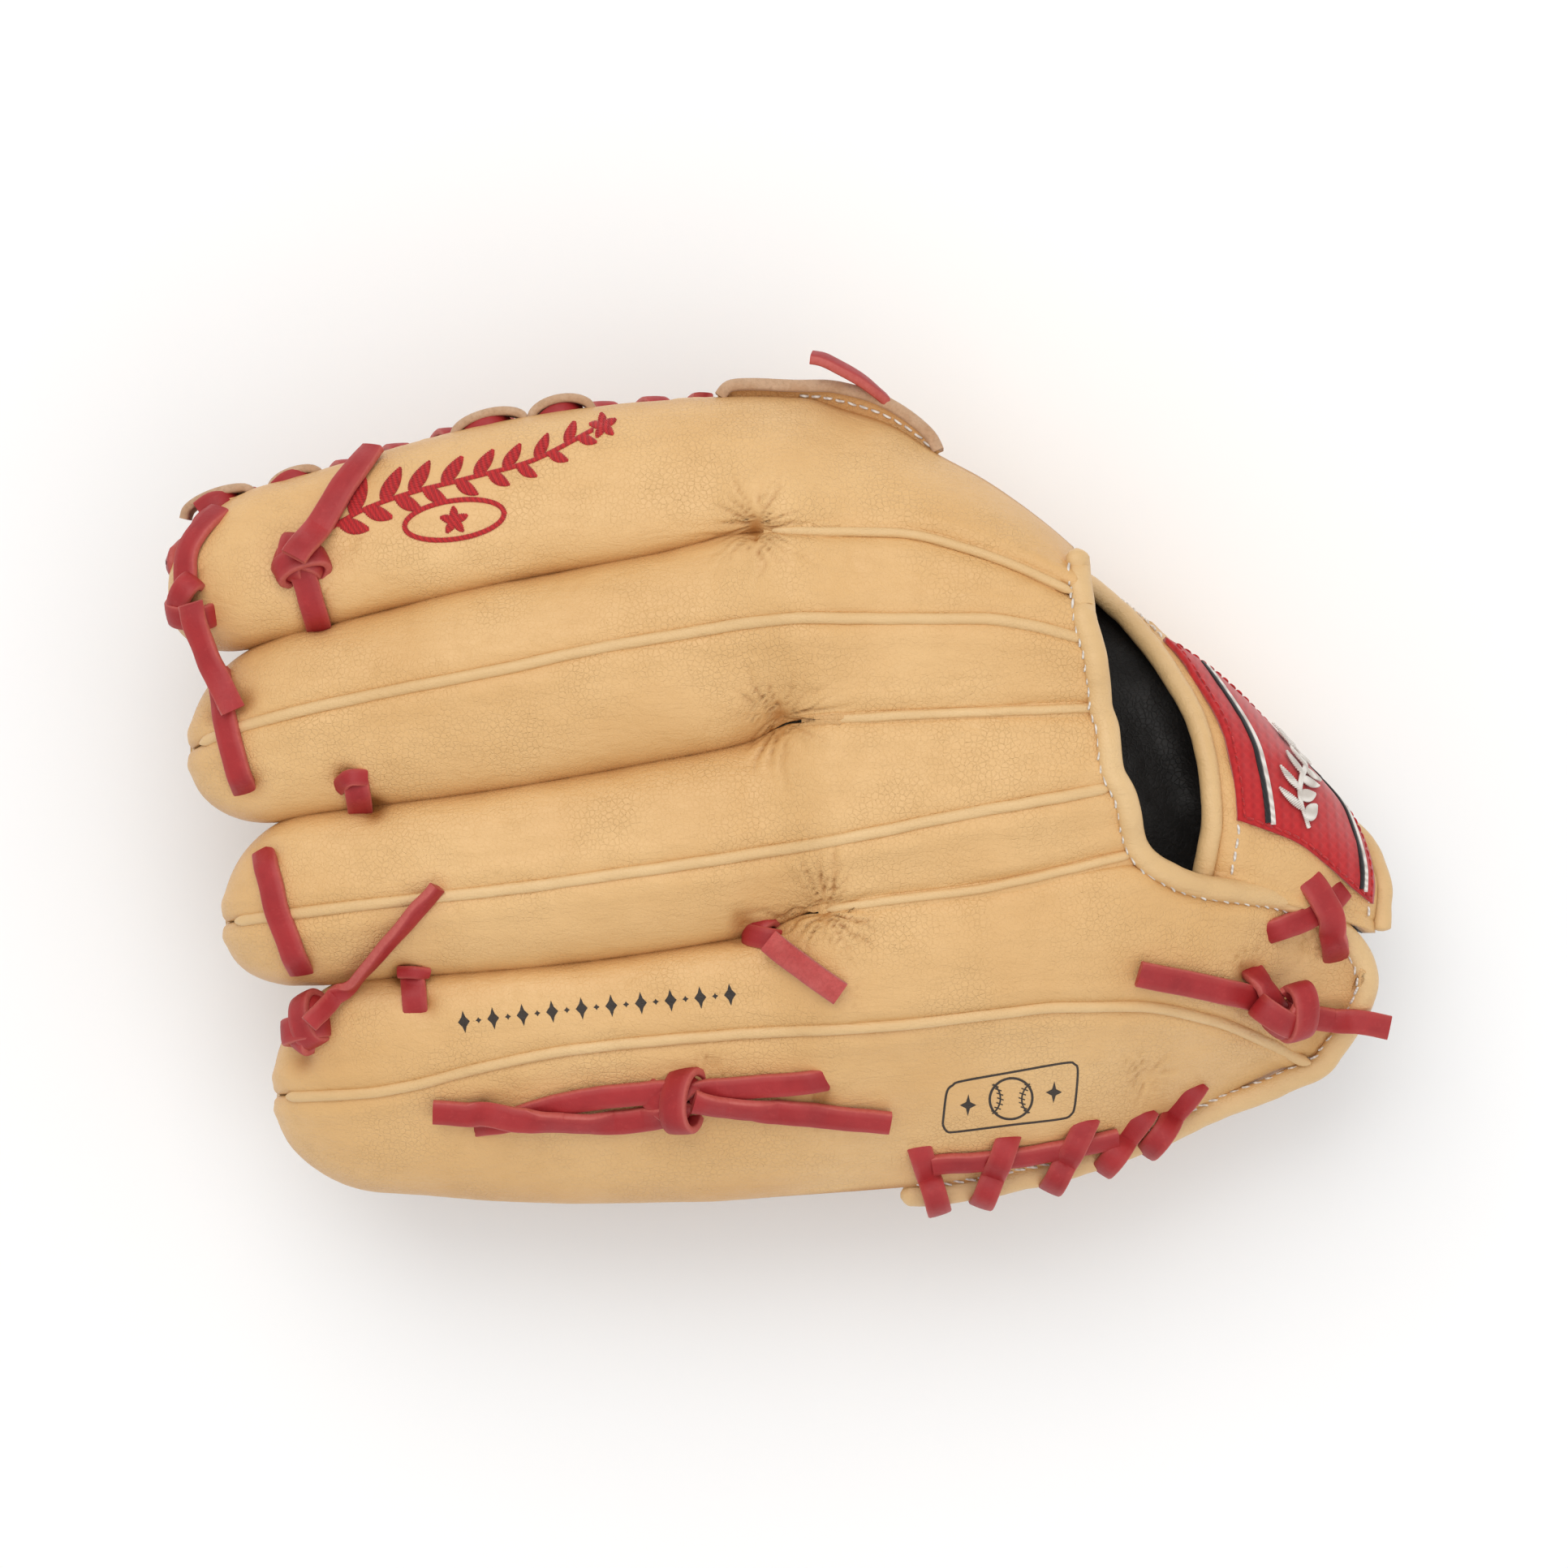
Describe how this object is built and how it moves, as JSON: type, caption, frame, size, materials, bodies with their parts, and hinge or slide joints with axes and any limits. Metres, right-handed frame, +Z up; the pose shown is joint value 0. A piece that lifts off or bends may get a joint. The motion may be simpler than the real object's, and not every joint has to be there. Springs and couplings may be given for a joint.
{
  "type": "baseball glove",
  "caption": "Left-hand fielder's baseball glove in tan leather with red laces, folded shut; opens along its fold.",
  "frame": {"origin": "centre of the bounding box, on the surface the glove lies on", "axes": "+Z up, from the thumb stall to the back of the fingers; +X from the fingertips to the wrist; +Y from the little finger to the index finger and web"},
  "size_m": [0.2986, 0.2086, 0.1155],
  "materials": {
    "tan_leather": "satin, full grain",
    "welt_leather": "satin",
    "red_lace": "satin",
    "web_leather": "raw, matt",
    "black_lining": "matt",
    "wool_felt": "felted wool",
    "red_cloth": "woven"
  },
  "bodies": {
    "thumb_side": {"thumb_back_inner": "tan_leather", "thumb_back_outer": "tan_leather", "thumb_front": "tan_leather", "thumb_felt": "wool_felt", "palm_thumb_side": "tan_leather", "heel_felt_thumb": "wool_felt", "fold_back": "tan_leather", "palm_fold": "tan_leather", "web_post_thumb": "web_leather", "web_lace_thumb": "red_lace", "thumb_loop": "black_lining"},
    "finger_side": {"index_back": "tan_leather", "middle_back_lower": "tan_leather", "middle_back_upper": "tan_leather", "ring_back_lower": "tan_leather", "ring_back_upper": "tan_leather", "little_back_lower": "tan_leather", "little_back_upper": "tan_leather", "index_front": "tan_leather", "middle_front": "tan_leather", "ring_front": "tan_leather", "little_front": "tan_leather", "index_felt": "wool_felt", "middle_felt": "wool_felt", "ring_felt": "wool_felt", "little_felt": "wool_felt", "palm_finger_side": "tan_leather", "palm_felt": "wool_felt", "heel_felt_little": "wool_felt", "palm_lining": "black_lining", "web_post_index": "web_leather", "web_top_bar": "web_leather", "web_crossbar": "web_leather", "web_base": "web_leather", "web_lace_index": "red_lace", "web_tail_lace": "red_lace", "wrist_strap": "tan_leather", "strap_label": "red_cloth", "strap_binding_hand": "welt_leather", "strap_binding_wrist": "welt_leather", "opening_binding": "welt_leather", "heel_binding": "welt_leather", "welt_index_middle": "welt_leather", "welt_middle_ring": "welt_leather", "welt_ring_little": "welt_leather", "welt_middle": "welt_leather", "welt_ring": "welt_leather", "welt_little": "welt_leather", "index_tip_lace": "red_lace", "middle_tip_lace": "red_lace", "ring_tip_lace": "red_lace", "little_tip_lace": "red_lace", "index_knot_lace": "red_lace", "crotch_lace": "red_lace", "hinge_lace": "red_lace", "heel_lace": "red_lace", "strap_tie_lace": "red_lace", "strap_cross_lace": "red_lace", "little_loop": "black_lining"}
  },
  "joints": [
    {"name": "palm_fold_hinge", "type": "hinge", "parent": "thumb_side", "child": "finger_side", "pos_m": [0, 0.045, 0.048], "axis": [-0.9578, 0.2874, 0], "range_deg": [-8, 60], "deforming": ["palm_fold", "fold_back", "wrist_strap", "strap_label", "strap_binding_hand", "strap_binding_wrist", "web_top_bar", "web_crossbar"]}
  ]
}
